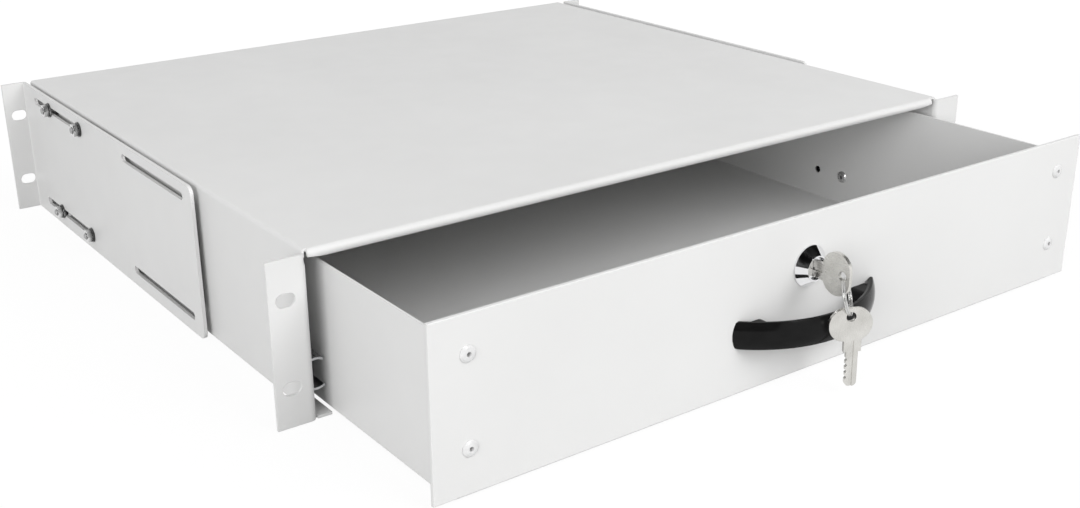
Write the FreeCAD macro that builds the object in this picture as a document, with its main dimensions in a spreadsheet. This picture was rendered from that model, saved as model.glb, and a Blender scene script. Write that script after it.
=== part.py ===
import FreeCAD, Part
import math
import os
import Sketcher

# Lockable sliding drawer, two rack units high, for a 19-inch rack.
#
# A folded case hangs from its front ears and from two rear brackets that
# slide in slots to suit the depth of the rack. A folded tray with a riveted
# front panel runs in the case on two ball-bearing slides. A cam lock turns a
# cranked cam up behind the rolled front edge of the case. The drawer is
# modelled pulled out by rest_travel.
#
# Frame: origin at the centre of the four front rack slots, on the front face
# of the ears; +X to the right seen from the front, +Y to the back, +Z up.

SIZES = [
    # Rack interface
    ("hole_span", 465.1, "between the slot centres, across"),
    ("hole_pitch", 44.45, "between the slot centres, up"),
    ("ear_slot_long", 10.0, "rack slot, end to end"),
    ("ear_slot_wide", 7.0, "rack slot, across"),
    ("ear_margin", 8.75, "from the slot centres out to the ear's edge"),
    ("ear_inset", 10.6, "from the slot centres in to the case side"),
    ("ear_foot", 0.2, "ear's lower edge above the base"),
    ("ear_drop", 1.7, "ear's upper edge below the top"),
    ("base_drop", 42.5, "from the slot centre line down to the base"),
    # Case
    ("case_depth", 397.2, "from the ears' front face to the rear edge"),
    ("case_height", 86.5, "from the base to the top"),
    ("case_gauge", 1.5, "sheet thickness"),
    ("fold_radius", 2.0, "outside radius of the case and bracket folds"),
    ("ear_fold", 3.5, "outside radius of the fold between ear and side"),
    ("inner_fold", 0.5, "inside radius of the other folds"),
    ("case_flange", 9.5, "bottom return flange, from the side's outer face"),
    ("flange_front", 1.2, "front end of the bottom flanges"),
    ("hem_radius", 2.7, "outside radius of the rolled front edge"),
    ("hem_return", 5.0, "straight part of the rolled edge below the top"),
    ("hem_left_gap", 0.6, "between the rolled edge and the left side"),
    ("hem_right_gap", 4.6, "between the rolled edge and the right side"),
    ("hem_corner", 1.6, "upper corner radius of the roll's ends"),
    ("hem_bevel_long", 11.0, "bevel under each end of the roll, across"),
    ("hem_bevel_high", 1.8, "bevel under each end of the roll, up"),
    ("rear_lip", 15.0, "downward flange at the rear of the top"),
    ("lip_end_gap", 0.9, "between the rear flange and the side"),
    # Rear brackets
    ("bracket_gauge", 2.0, "sheet thickness"),
    ("bracket_long", 280.2, "side plate, from its front edge to the rear ear's face"),
    ("bracket_corner", 4.5, "radius of the front corners"),
    ("bracket_slot_long", 88.0, "adjustment slot, end to end"),
    ("bracket_slot_wide", 4.5, "adjustment slot, across"),
    ("bracket_slot_step", 157.7, "from the front slot to the rear slot"),
    ("slide_fit", 0.1, "play between a bracket and each nut beside it"),
    # Bracket fasteners, M4
    ("row_low", 10.0, "lower row of screws above the base"),
    ("row_high", 7.9, "upper row of screws below the top"),
    ("screw_inset", 53.2, "rear screws ahead of the case's rear edge"),
    ("screw_pitch", 56.0, "between the screws of a row"),
    ("screw_radius", 2.0, "M4 shank"),
    ("screw_hole_play", 0.15, "between a shank and its hole"),
    ("screw_length", 12.0, "under the head"),
    ("screw_tip_bevel", 0.4, "bevel at the end of the shank"),
    ("screw_head_radius", 4.0, "pan head"),
    ("screw_head_high", 2.4, "pan head"),
    ("screw_cross_wide", 1.0, "cross recess in the head"),
    ("screw_cross_deep", 1.1, "cross recess in the head"),
    ("nut_flats", 7.0, "M4 nut, across flats"),
    ("nut_high", 3.2, "M4 nut"),
    ("nut_flange_radius", 4.6, "collar of the outer nut"),
    ("nut_flange_high", 1.0, "collar of the outer nut"),
    # Drawer
    ("rest_travel", 100.0, "how far the drawer is pulled out here"),
    ("full_travel", 250.0, "how far the drawer pulls out to its stops"),
    ("closed_gap", 0.3, "between the shut panel and the rolled edge"),
    ("slide_room", 10.0, "between the case's side and the tray's"),
    ("tray_rear_room", 21.0, "behind the shut tray, to the case's rear flange"),
    ("tray_head_gap", 4.4, "tray's rim below the rolled edge"),
    ("tray_lift", 0.5, "tray floor above the base"),
    ("tray_gauge", 1.2, "sheet thickness"),
    ("tray_fold", 1.6, "outside radius of the tray's folds"),
    ("tray_flange", 19.0, "front flange, from the side's outer face"),
    ("tray_relief", 3.0, "front flange above the underside of the floor"),
    ("panel_inset", 2.0, "panel's ends inside the case's sides"),
    ("panel_lift", 1.8, "lower edge of the panel above the base"),
    ("panel_drop", 0.4, "upper edge of the panel below the case's top"),
    ("panel_gauge", 2.0, "sheet thickness"),
    ("panel_edge", 0.5, "rounding of the panel's front edges"),
    # Blind rivets
    ("rivet_radius", 2.0, "shank"),
    ("rivet_head_radius", 4.0, "dome head"),
    ("rivet_head_high", 1.2, "dome head"),
    ("rivet_rim_high", 0.35, "straight rim of the dome head"),
    ("rivet_crown_radius", 3.0, "where the dome head's slope turns flatter"),
    ("rivet_crown_high", 1.0, "the same place above the seat"),
    ("rivet_flat_radius", 1.8, "flat around the mandrel hole"),
    ("rivet_bore", 1.1, "radius of the mandrel hole"),
    ("rivet_bulb_radius", 2.8, "set end"),
    ("rivet_bulb_long", 2.2, "set end"),
    ("rivet_bulb_slope", 0.4, "slope before and after the set end's widest part"),
    ("panel_rivet_inset", 9.5, "panel rivets inside the tray's side"),
    ("panel_rivet_low", 23.5, "lower panel rivets above the tray's underside"),
    ("panel_rivet_high", 8.7, "upper panel rivets below the tray's rim"),
    # Ball-bearing slides
    ("slide_height", 17.0, "over the case rail"),
    ("slide_lift", 20.0, "slide centre line above the base"),
    ("rail_gauge", 1.2, "rail strip thickness"),
    ("raceway_rise", 1.3, "arch of each raceway of the case rail"),
    ("case_rail_front", 8.0, "front end of the case rail"),
    ("case_rail_tail", 11.0, "case rail's rear end ahead of the first screws"),
    ("case_rail_deep", 8.8, "from the case side to the edges"),
    ("drawer_rail_height", 8.5, "over the drawer rail"),
    ("drawer_rail_tail", 4.7, "drawer rail's rear end ahead of the tray's"),
    ("drawer_rail_long", 215.0, "drawer rail"),
    ("drawer_rail_clear", 2.6, "drawer rail's edges from the case side"),
    ("ball_radius", 1.45, "slide ball"),
    ("ball_end", 7.3, "end balls from the ends of the cage"),
    ("ball_count", 8, "balls in a row"),
    ("cage_lug_gap", 0.5, "cage behind the stop lug when fully out"),
    ("cage_tab_gap", 0.4, "cage ahead of the stop tab when fully out"),
    ("cage_gauge", 0.6, "cage strip thickness"),
    ("cage_gap", 0.4, "between the cage and the case rail's web"),
    ("cage_deep", 7.0, "cage's edges from the case side"),
    ("ball_play", 0.03, "between a ball and its cage hole"),
    ("stop_high", 1.1, "stop lug above the case rail's web"),
    ("stop_wide", 6.0, "stop lugs, up"),
    ("stop_long", 3.0, "case rail's stop lug, along the slide"),
    ("stop_front", 19.5, "stop lug behind the rail's front end"),
    ("slide_rivet_radius", 1.6, "flush rivet of the case rail"),
    ("slide_rivet_head", 3.2, "its flat head outside the case"),
    ("slide_rivet_high", 0.8, "its flat head outside the case"),
    ("slide_rivet_cover", 13.0, "first flush rivet behind the bracket's front edge"),
    ("slide_rivet_end", 15.0, "last flush rivet ahead of the case rail's end"),
    ("rail_rivet_first", 7.6, "first blind rivet behind the drawer rail's end"),
    ("rail_rivet_last", 13.4, "last blind rivet ahead of the drawer rail's end"),
    ("access_hole_step", 22.4, "access hole behind the first rivet"),
    ("access_hole_radius", 2.4, "hole through the tray and its rail"),
    # Handle
    ("handle_span", 100.8, "over the ends"),
    ("handle_reach", 22.5, "in front of the panel"),
    ("handle_height", 14.4, "bow, up"),
    ("handle_crown", 1.7, "bulge of the outer face"),
    ("handle_wall", 2.9, "thickness of the bow in its middle"),
    ("handle_hollow", 1.3, "depth of the inner face's hollow"),
    ("handle_corner", 4.0, "corner radius of the ends"),
    ("handle_lift", 33.8, "centre line above the base"),
    ("foot_height", 9.6, "foot of the handle"),
    ("foot_inset", 4.5, "foot's outer end inside the bow's end"),
    ("foot_long", 17.0, "foot of the handle"),
    ("handle_screw_step", 5.0, "screw from the foot's inner end"),
    ("handle_screw_deep", 7.0, "screw's reach into the foot"),
    # Cam lock
    ("lock_lift", 58.5, "lock axis above the base"),
    ("collar_radius", 10.8, "base of the conical collar"),
    ("collar_rim", 0.8, "straight rim of the collar"),
    ("collar_reach", 5.5, "collar in front of the panel"),
    ("collar_nose", 6.9, "radius of the collar's front ring"),
    ("collar_bevel", 0.3, "bevel of the collar's front ring"),
    ("lock_body_radius", 8.9, "threaded body"),
    ("lock_body_flat", 8.0, "body's flats from the axis"),
    ("lock_body_long", 18.0, "body behind the panel's front face"),
    ("lock_hole_play", 0.1, "between the body and the panel"),
    ("lock_nut_flats", 22.0, "across flats"),
    ("lock_nut_high", 4.5, "nut"),
    ("plug_head_radius", 5.8, "plug's head"),
    ("plug_head_long", 1.5, "plug's head"),
    ("plug_bevel", 0.4, "bevel around the plug's face"),
    ("plug_recess", 1.9, "plug's face behind the front ring"),
    ("plug_radius", 5.2, "plug"),
    ("plug_play", 0.08, "running play of the plug in the body"),
    ("plug_tail", 0.4, "plug behind the body"),
    ("plug_square", 6.0, "square that drives the cam"),
    ("keyway_play", 0.1, "around the key's blade"),
    ("cam_gauge", 2.0, "strip thickness"),
    ("cam_width", 12.0, "arm"),
    ("cam_hub_radius", 7.5, "hub"),
    ("cam_play", 0.1, "between the plug's end and the cam"),
    ("cam_square_play", 0.05, "between the square and the cam"),
    ("cam_hook", 2.0, "how far the turned cam reaches up behind the rolled edge"),
    ("cam_gap", 1.9, "between the rolled edge and the cam, drawer shut"),
    ("cam_crank_at", 13.5, "fold from the lock axis"),
    ("cam_screw_radius", 2.0, "M4"),
    ("cam_screw_deep", 2.8, "in the plug"),
    ("cam_washer_radius", 4.6, "washer face"),
    ("cam_washer_high", 0.8, "washer face"),
    # Keys
    ("key_gauge", 2.0, "plate thickness"),
    ("bow_length", 17.2, "bow, along the key"),
    ("bow_width", 22.0, "bow, across the key"),
    ("bow_corner", 8.4, "bow's corner radius"),
    ("bow_rise", 1.4, "middle of the bow beside the blade's centre line"),
    ("key_hole_radius", 2.5, "hole for the ring"),
    ("key_hole_step", 4.2, "hole from the bow's middle"),
    ("key_shoulder_wide", 8.8, "shoulder"),
    ("key_shoulder_end", 14.4, "shoulder's end from the bow's middle"),
    ("key_stop_gap", 0.2, "shoulder in front of the plug's face"),
    ("blade_wide", 6.0, "blade"),
    ("blade_end", 32.9, "tip from the bow's middle"),
    ("blade_nose", 2.4, "corner radius of the tip"),
    ("bitting_deep", 0.9, "depth of the cuts"),
    ("bitting_pitch", 3.2, "between the cuts"),
    ("bitting_wide", 1.8, "width of a cut at the edge"),
    ("bitting_first", 4.0, "first cut behind the shoulder"),
    ("bitting_count", 4, "cuts in the blade"),
    ("blade_groove_wide", 1.4, "milled groove"),
    ("blade_groove_deep", 0.5, "milled groove"),
    ("ring_drop", 19.6, "from one key's hole to the other's"),
    ("ring_sag", 0.8, "ring wire off the middle of each hole"),
    ("ring_wire", 0.5, "wire radius"),
    ("ring_coil_step", 0.9, "between the ring's two turns"),
    ("ring_lean", 18.5, "ring leans out from the panel, degrees"),
    ("ring_turn", 36.0, "ring's plane from across, degrees"),
    ("spare_turn", 63.0, "spare key's face from across, degrees"),
    ("spare_lean", 1.0, "spare key off the plumb line, degrees"),
]

doc = FreeCAD.newDocument("rack_drawer")
sheet = doc.addObject("Spreadsheet::Sheet", "size")
for row, (alias, amount, note) in enumerate(SIZES, start=1):
    sheet.set("A%d" % row, alias)
    sheet.set("B%d" % row, str(amount))
    sheet.set("C%d" % row, note)
    sheet.setAlias("B%d" % row, alias)
doc.recompute()

# Places that several pieces share, as expressions on the sheet.
BASE = "(-size.base_drop)"
CASE_TOP = "(size.case_height - size.base_drop)"
CASE_OUT = "(size.hole_span / 2 - size.ear_inset)"
CASE_IN = f"({CASE_OUT} - size.case_gauge)"
EAR_END = "(size.hole_span / 2 + size.ear_margin)"
HEM_LOW = f"({CASE_TOP} - 2 * size.hem_radius)"
HEM_END = "(size.hem_radius + size.hem_return)"
ROLL_LEFT = f"({CASE_IN} - size.hem_left_gap)"
ROLL_RIGHT = f"({CASE_IN} - size.hem_right_gap)"
BRACKET_IN = f"({CASE_OUT} + size.nut_high + size.slide_fit)"
BRACKET_OUT = f"({BRACKET_IN} + size.bracket_gauge)"
BRACKET_FRONT = "(size.case_depth - size.bracket_long)"
REAR_SCREWS = "(size.case_depth - size.screw_inset)"
FRONT_SCREWS = f"({REAR_SCREWS} - size.screw_pitch)"
SCREW_ROWS = (f"({BASE} + size.row_low)", f"({CASE_TOP} - size.row_high)")
PANEL_BACK = "(-size.rest_travel - size.closed_gap)"
PANEL_FACE = f"({PANEL_BACK} - size.panel_gauge)"
TRAY_OUT = f"({CASE_IN} - size.slide_room)"
TRAY_IN = f"({TRAY_OUT} - size.tray_gauge)"
TRAY_LOW = "(size.tray_lift - size.base_drop)"
TRAY_TOP = f"({HEM_LOW} - size.tray_head_gap)"
TRAY_REAR = "(size.case_depth - size.case_gauge - size.tray_rear_room - size.rest_travel)"
SLIDE_Z = "(size.slide_lift - size.base_drop)"
CASE_RAIL_REAR = f"({FRONT_SCREWS} - size.case_rail_tail)"
DRAWER_RAIL_REAR = f"({TRAY_REAR} - size.drawer_rail_tail)"
DRAWER_RAIL_FRONT = f"({DRAWER_RAIL_REAR} - size.drawer_rail_long)"
ACCESS_HOLE_Y = f"({DRAWER_RAIL_FRONT} + size.rail_rivet_first + size.access_hole_step)"
STOP_LUG_FRONT = "(size.case_rail_front + size.stop_front)"
STOP_LUG_REAR = f"({STOP_LUG_FRONT} + size.stop_long)"
STOP_TAB_FRONT = f"({DRAWER_RAIL_REAR} - size.rail_gauge)"
HANDLE_Z = "(size.handle_lift - size.base_drop)"
FOOT_OUTER = "(size.handle_span / 2 - size.foot_inset)"
FOOT_INNER = f"({FOOT_OUTER} - size.foot_long)"
HANDLE_SCREW_X = f"({FOOT_INNER} + size.handle_screw_step)"
LOCK_Z = "(size.lock_lift - size.base_drop)"
SHANK_HOLE = "(size.screw_radius + size.screw_hole_play)"
RIVET_HOLE = "(size.rivet_radius + size.screw_hole_play)"

# A ball cage moves half as far as the drawer, and meets its stops in front
# and behind when the drawer is fully out.
CAGE_TO_GO = "((size.full_travel - size.rest_travel) / 2)"
CAGE_FRONT = f"({STOP_LUG_REAR} + size.cage_lug_gap + {CAGE_TO_GO})"
CAGE_REAR = f"({STOP_TAB_FRONT} - size.cage_tab_gap - {CAGE_TO_GO})"
BALL_X = f"(-{CASE_IN} + size.case_rail_deep / 2)"
# Height of a ball row above or below the slide's centre line.
BALL_ROW = "((size.slide_height / 2 - size.rail_gauge + size.drawer_rail_height / 2) / 2)"

PLANES = {"top": "XY_Plane", "front": "XZ_Plane", "side": "YZ_Plane"}
FULL_TURN = 360.0
SPARE = 2.0  # how far a cut runs past the faces it goes through


def value(expression):
    """The number that an expression on the sheet comes to."""
    found = sheet.evalExpression(expression)
    return float(getattr(found, "Value", found))


def new_body(label):
    body = doc.addObject("PartDesign::Body", label)
    body.Label = label
    return body


# Outlines are closed lists of corners (u, v). A corner may carry the centre
# and the sense of an arc to the next corner: (u, v, centre_u, centre_v, ccw).
# The top plane has u = X, v = Y; the front plane u = X, v = Z; the side plane
# u = Y, v = Z. A circle is ("circle", u, v, radius).

def rectangle(left, low, right, high):
    return [(left, low), (right, low), (right, high), (left, high)]


def slot(mid_u, mid_v, long, wide):
    """A slot with round ends, its length along u."""
    left = f"{mid_u} - {long} / 2 + {wide} / 2"
    right = f"{mid_u} + {long} / 2 - {wide} / 2"
    low = f"{mid_v} - {wide} / 2"
    high = f"{mid_v} + {wide} / 2"
    return [
        (left, low),
        (right, low, right, mid_v, True),
        (right, high),
        (left, high, left, mid_v, True),
    ]


def hexagon(across_flats):
    """A hexagon about the origin with two flats along u."""
    half = f"{across_flats} / 2"
    corner = f"{across_flats} / sqrt(3)"
    return [
        (f"-{corner}", "0"),
        (f"-{corner} / 2", f"-{half}"),
        (f"{corner} / 2", f"-{half}"),
        (corner, "0"),
        (f"{corner} / 2", half),
        (f"-{corner} / 2", half),
    ]


def rounded(corners):
    """Round the corners (u, v, radius) of a right-angled outline."""
    outline = []
    count = len(corners)
    for index, corner in enumerate(corners):
        u, v = corner[0], corner[1]
        if len(corner) == 2:
            outline.append((u, v))
            continue
        radius = corner[2]
        here = (value(u), value(v))
        ends = []
        for other in (corners[index - 1], corners[(index + 1) % count]):
            step_u = value(other[0]) - here[0]
            step_v = value(other[1]) - here[1]
            if abs(step_u) > abs(step_v):
                ends.append((math.copysign(1, step_u), 0))
            else:
                ends.append((0, math.copysign(1, step_v)))
        (in_u, in_v), (out_u, out_v) = ends
        ccw = in_v * out_u - in_u * out_v > 0
        outline.append((
            f"{u} + {in_u} * {radius}",
            f"{v} + {in_v} * {radius}",
            f"{u} + {in_u + out_u} * {radius}",
            f"{v} + {in_v + out_v} * {radius}",
            ccw,
        ))
        outline.append((f"{u} + {out_u} * {radius}", f"{v} + {out_v} * {radius}"))
    return outline


def bind(sketch, kind, geometry, point, expression):
    """Fix one coordinate of a point to an expression on the sheet."""
    constraint = Sketcher.Constraint(kind, -1, 1, geometry, point, value(expression))
    index = sketch.addConstraint(constraint)
    sketch.setExpression("Constraints[%d]" % index, expression)


def draw_circle(sketch, circle):
    _, mid_u, mid_v, radius = circle
    centre = FreeCAD.Vector(value(mid_u), value(mid_v), 0)
    normal = FreeCAD.Vector(0, 0, 1)
    geometry = sketch.addGeometry(Part.Circle(centre, normal, value(radius)), False)
    bind(sketch, "DistanceX", geometry, 3, mid_u)
    bind(sketch, "DistanceY", geometry, 3, mid_v)
    index = sketch.addConstraint(Sketcher.Constraint("Radius", geometry, value(radius)))
    sketch.setExpression("Constraints[%d]" % index, radius)


def draw_outline(sketch, outline):
    normal = FreeCAD.Vector(0, 0, 1)
    corners = [FreeCAD.Vector(value(c[0]), value(c[1]), 0) for c in outline]
    edges = []
    ends = []
    for index, corner in enumerate(outline):
        start = corners[index]
        stop = corners[(index + 1) % len(corners)]
        if len(corner) == 2:
            edges.append(sketch.addGeometry(Part.LineSegment(start, stop), False))
            ends.append((1, 2))
            continue
        centre = FreeCAD.Vector(value(corner[2]), value(corner[3]), 0)
        first = start if corner[4] else stop
        last = stop if corner[4] else start
        circle = Part.Circle(centre, normal, (start - centre).Length)
        arc = Part.ArcOfCircle(circle, circle.parameter(first), circle.parameter(last))
        edges.append(sketch.addGeometry(arc, False))
        ends.append((1, 2) if corner[4] else (2, 1))
    for index, edge in enumerate(edges):
        after = (index + 1) % len(edges)
        joint = Sketcher.Constraint(
            "Coincident", edge, ends[index][1], edges[after], ends[after][0])
        sketch.addConstraint(joint)
    for index, corner in enumerate(outline):
        bind(sketch, "DistanceX", edges[index], ends[index][0], corner[0])
        bind(sketch, "DistanceY", edges[index], ends[index][0], corner[1])
        if len(corner) > 2:
            chord = corners[(index + 1) % len(corners)] - corners[index]
            if abs(chord.y) > abs(chord.x):
                bind(sketch, "DistanceX", edges[index], 3, corner[2])
            else:
                bind(sketch, "DistanceY", edges[index], 3, corner[3])


def new_sketch(body, name, plane, outlines, offset="0"):
    """A sketch on one of the body's own origin planes, moved along its normal."""
    sketch = body.newObject("Sketcher::SketchObject", name + "_sketch")
    role = PLANES[plane]
    support = [f for f in body.Origin.OriginFeatures if f.Role == role][0]
    sketch.AttachmentSupport = (support, [""])
    sketch.MapMode = "FlatFace"
    # The front plane's normal points to -Y.
    sign = "-1" if plane == "front" else "1"
    sketch.setExpression("AttachmentOffset.Base.z", f"{sign} * ({offset})")
    for outline in outlines:
        if outline[0] == "circle":
            draw_circle(sketch, outline)
        else:
            draw_outline(sketch, outline)
    return sketch


def pad(body, name, plane, outlines, start, stop):
    """Material between two places along the plane's axis."""
    feature = body.newObject("PartDesign::Pad", name)
    feature.Profile = new_sketch(body, name, plane, outlines, start)
    feature.setExpression("Length", f"({stop}) - ({start})")
    feature.Reversed = plane == "front"
    doc.recompute()
    return feature


def cut(body, name, plane, outlines, start, stop):
    """A cut between two places along the plane's axis."""
    before = body.Shape.Volume
    feature = body.newObject("PartDesign::Pocket", name)
    feature.Profile = new_sketch(body, name, plane, outlines, start)
    feature.setExpression("Length", f"({stop}) - ({start})")
    feature.Reversed = plane != "front"
    doc.recompute()
    if body.Shape.Volume >= before:
        raise ValueError("cut %s of %s removes nothing" % (name, body.Label))
    return feature


def spin(body, name, plane, outlines, axis="H_Axis", angle=FULL_TURN):
    """Material turned about the sketch's horizontal or vertical axis."""
    feature = body.newObject("PartDesign::Revolution", name)
    sketch = new_sketch(body, name, plane, outlines)
    feature.Profile = sketch
    feature.ReferenceAxis = (sketch, [axis])
    feature.Angle = angle
    feature.Midplane = True
    doc.recompute()
    return feature


def place(feature, x="0", y="0", z="0"):
    """Bind where a piece stands to the sheet."""
    for axis, expression in (("x", x), ("y", y), ("z", z)):
        feature.setExpression("Placement.Base." + axis, expression)
    doc.recompute()


def mirrored(label, source):
    """The right-hand twin of a left-hand piece."""
    twin = doc.addObject("Part::Mirroring", label)
    twin.Label = label
    twin.Source = source
    twin.Normal = FreeCAD.Vector(1, 0, 0)
    doc.recompute()
    return twin


def copies(label, pattern, places):
    """One sub-part made of several equal pieces.

    Each place is (x, y, z, rotation)."""
    links = []
    for index, (x, y, z, rotation) in enumerate(places, start=1):
        link = doc.addObject("App::Link", "%s_%d" % (label, index))
        link.LinkedObject = pattern
        link.Placement = FreeCAD.Placement(FreeCAD.Vector(), rotation)
        place(link, x, y, z)
        links.append(link)
    compound = doc.addObject("Part::Compound", label)
    compound.Label = label
    compound.Links = links
    doc.recompute()
    return compound


AHEAD = FreeCAD.Rotation()  # a fastener's outer end points to -Y
TO_LEFT = FreeCAD.Rotation(FreeCAD.Vector(0, 0, 1), -90)  # to -X
TO_RIGHT = FreeCAD.Rotation(FreeCAD.Vector(0, 0, 1), 90)  # to +X
SIDES = (("-1", TO_LEFT), ("1", TO_RIGHT))


# ---------------------------------------------------------------- case

def rack_slots():
    """The four rack slots, on the front plane."""
    return [
        slot(f"{across} * size.hole_span / 2", f"{up} * size.hole_pitch / 2",
             "size.ear_slot_long", "size.ear_slot_wide")
        for across in (-1, 1) for up in (-1, 1)
    ]


def bracket_screw_places():
    """The (y, z) of the four bracket screws of one side."""
    return [
        (along, row) for along in (FRONT_SCREWS, REAR_SCREWS) for row in SCREW_ROWS
    ]


def slide_rivet_places():
    """The (y, z) of the flush rivets that hold one case rail."""
    first = f"({BRACKET_FRONT} + size.slide_rivet_cover)"
    last = f"({CASE_RAIL_REAR} - size.slide_rivet_end)"
    middle = f"(({first} + {last}) / 2)"
    return [(first, SLIDE_Z), (middle, SLIDE_Z), (last, SLIDE_Z)]


def ear_outline(side):
    """Ear, front fold and the start of the side wall, seen from above."""
    root = "2 * size.ear_fold"
    return rounded([
        (f"{side} * {EAR_END}", "0"),
        (f"{side} * {CASE_IN}", "0", "size.ear_fold"),
        (f"{side} * {CASE_IN}", root),
        (f"{side} * {CASE_OUT}", root),
        (f"{side} * {CASE_OUT}", "size.case_gauge", "(size.ear_fold - size.case_gauge)"),
        (f"{side} * {EAR_END}", "size.case_gauge"),
    ])


def roll_outline():
    """Section of the rolled front edge of the case's top."""
    mid = f"({CASE_TOP} - size.hem_radius)"
    inner_top = f"({CASE_TOP} - size.case_gauge)"
    inner_low = f"({HEM_LOW} + size.case_gauge)"
    behind = "(size.hem_radius + size.case_gauge)"
    return [
        (behind, CASE_TOP),
        ("size.hem_radius", CASE_TOP, "size.hem_radius", mid, True),
        ("size.hem_radius", HEM_LOW),
        (HEM_END, HEM_LOW),
        (HEM_END, inner_low),
        ("size.hem_radius", inner_low, "size.hem_radius", mid, False),
        ("size.hem_radius", inner_top),
        (behind, inner_top),
    ]


def trim_roll(body):
    """Bevel each end of the roll below and round it above."""
    bevels, corners = [], []
    for side, end in (("-1", ROLL_LEFT), ("1", ROLL_RIGHT)):
        tip = f"{side} * ({end} + {SPARE})"
        edge = f"{side} * {end}"
        inside = f"{side} * ({end} - size.hem_corner)"
        round_low = f"({CASE_TOP} - size.hem_corner)"
        bevels.append([
            (f"{side} * ({end} - size.hem_bevel_long)", HEM_LOW),
            (edge, f"{HEM_LOW} + size.hem_bevel_high"),
            (tip, f"{HEM_LOW} + size.hem_bevel_high"),
            (tip, f"{HEM_LOW} - {SPARE}"),
            (f"{side} * ({end} - size.hem_bevel_long)", f"{HEM_LOW} - {SPARE}"),
        ])
        corners.append([
            (edge, round_low, inside, round_low, side == "1"),
            (inside, CASE_TOP),
            (inside, f"{CASE_TOP} + {SPARE}"),
            (edge, f"{CASE_TOP} + {SPARE}"),
        ])
    cut(body, "roll_bevels", "front", bevels, f"-{SPARE}", f"{HEM_END} + {SPARE}")
    cut(body, "roll_corners", "front", corners, f"-{SPARE}", "size.hem_radius")


def make_case():
    body = new_body("case")
    inner_top = f"({CASE_TOP} - size.case_gauge)"
    inner_base = f"({BASE} + size.case_gauge)"
    flange_end = f"({CASE_OUT} - size.case_flange)"
    channel = rounded([
        (f"-{CASE_OUT}", BASE, "size.fold_radius"),
        (f"-{flange_end}", BASE),
        (f"-{flange_end}", inner_base),
        (f"-{CASE_IN}", inner_base, "size.inner_fold"),
        (f"-{CASE_IN}", inner_top, "size.inner_fold"),
        (CASE_IN, inner_top, "size.inner_fold"),
        (CASE_IN, inner_base, "size.inner_fold"),
        (flange_end, inner_base),
        (flange_end, BASE),
        (CASE_OUT, BASE, "size.fold_radius"),
        (CASE_OUT, CASE_TOP, "size.fold_radius"),
        (f"-{CASE_OUT}", CASE_TOP, "size.fold_radius"),
    ])
    pad(body, "channel", "front", [channel], "size.hem_radius", "size.case_depth")

    ears = [ear_outline("-1"), ear_outline("1")]
    pad(body, "ears", "top", ears, f"{BASE} + size.ear_foot", f"{CASE_TOP} - size.ear_drop")
    flange_side = f"({CASE_OUT} - size.fold_radius)"
    flanges = [
        rectangle(f"-{flange_side}", BASE, f"-{flange_end}", inner_base),
        rectangle(flange_end, BASE, flange_side, inner_base),
    ]
    pad(body, "flange_fronts", "front", flanges,
        "size.flange_front", "size.hem_radius + size.case_gauge")

    # The front edge of the top is rolled under into a round bead.
    pad(body, "roll", "side", [roll_outline()], f"-{ROLL_LEFT}", ROLL_RIGHT)
    trim_roll(body)

    lip_side = f"({CASE_IN} - size.lip_end_gap)"
    lip = rectangle(f"-{lip_side}", f"{CASE_TOP} - size.rear_lip", lip_side, CASE_TOP)
    pad(body, "rear_lip", "front", [lip],
        "size.case_depth - size.case_gauge", "size.case_depth")

    cut(body, "rack_slots", "front", rack_slots(),
        f"-{SPARE}", f"size.case_gauge + {SPARE}")
    holes = [("circle", y, z, SHANK_HOLE) for y, z in bracket_screw_places()]
    holes += [("circle", y, z, "size.slide_rivet_radius") for y, z in slide_rivet_places()]
    cut(body, "side_holes", "side", holes,
        f"-{CASE_OUT} - {SPARE}", f"{CASE_OUT} + {SPARE}")
    return body


# ------------------------------------------------------- rear brackets

def make_bracket():
    """Left rear bracket: side plate with four slots, and a rear rack ear."""
    body = new_body("left_rear_bracket")
    plan = rounded([
        (f"-{BRACKET_OUT}", BRACKET_FRONT),
        (f"-{BRACKET_IN}", BRACKET_FRONT),
        (f"-{BRACKET_IN}", "size.case_depth", "size.fold_radius"),
        (f"-{EAR_END}", "size.case_depth"),
        (f"-{EAR_END}", "size.case_depth - size.bracket_gauge"),
        (f"-{BRACKET_OUT}", "size.case_depth - size.bracket_gauge", "size.inner_fold"),
    ])
    pad(body, "plate", "top", [plan], BASE, CASE_TOP)

    # The front screws stand at the front end of the rear slots.
    half_straight = "(size.bracket_slot_long - size.bracket_slot_wide) / 2"
    rear_slot = f"({FRONT_SCREWS} + {half_straight})"
    front_slot = f"({rear_slot} - size.bracket_slot_step)"
    slots = [
        slot(middle, row, "size.bracket_slot_long", "size.bracket_slot_wide")
        for middle in (front_slot, rear_slot) for row in SCREW_ROWS
    ]
    outside = f"-{BRACKET_OUT} - {SPARE}"
    cut(body, "side_slots", "side", slots, outside, f"-{BRACKET_IN} + {SPARE}")

    corners = []
    round_end = f"({BRACKET_FRONT} + size.bracket_corner)"
    for edge, sign in ((BASE, 1), (CASE_TOP, -1)):
        inside = f"({edge} + {sign} * size.bracket_corner)"
        corners.append([
            (f"{BRACKET_FRONT} - {SPARE}", inside),
            (BRACKET_FRONT, inside, round_end, inside, sign == 1),
            (round_end, edge),
            (round_end, f"{edge} - {sign} * {SPARE}"),
            (f"{BRACKET_FRONT} - {SPARE}", f"{edge} - {sign} * {SPARE}"),
        ])
    cut(body, "front_corners", "side", corners, outside, f"-{BRACKET_IN} + {SPARE}")

    cut(body, "rack_slots", "front", rack_slots()[:2],
        f"size.case_depth - size.bracket_gauge - {SPARE}", f"size.case_depth + {SPARE}")
    return body


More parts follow.
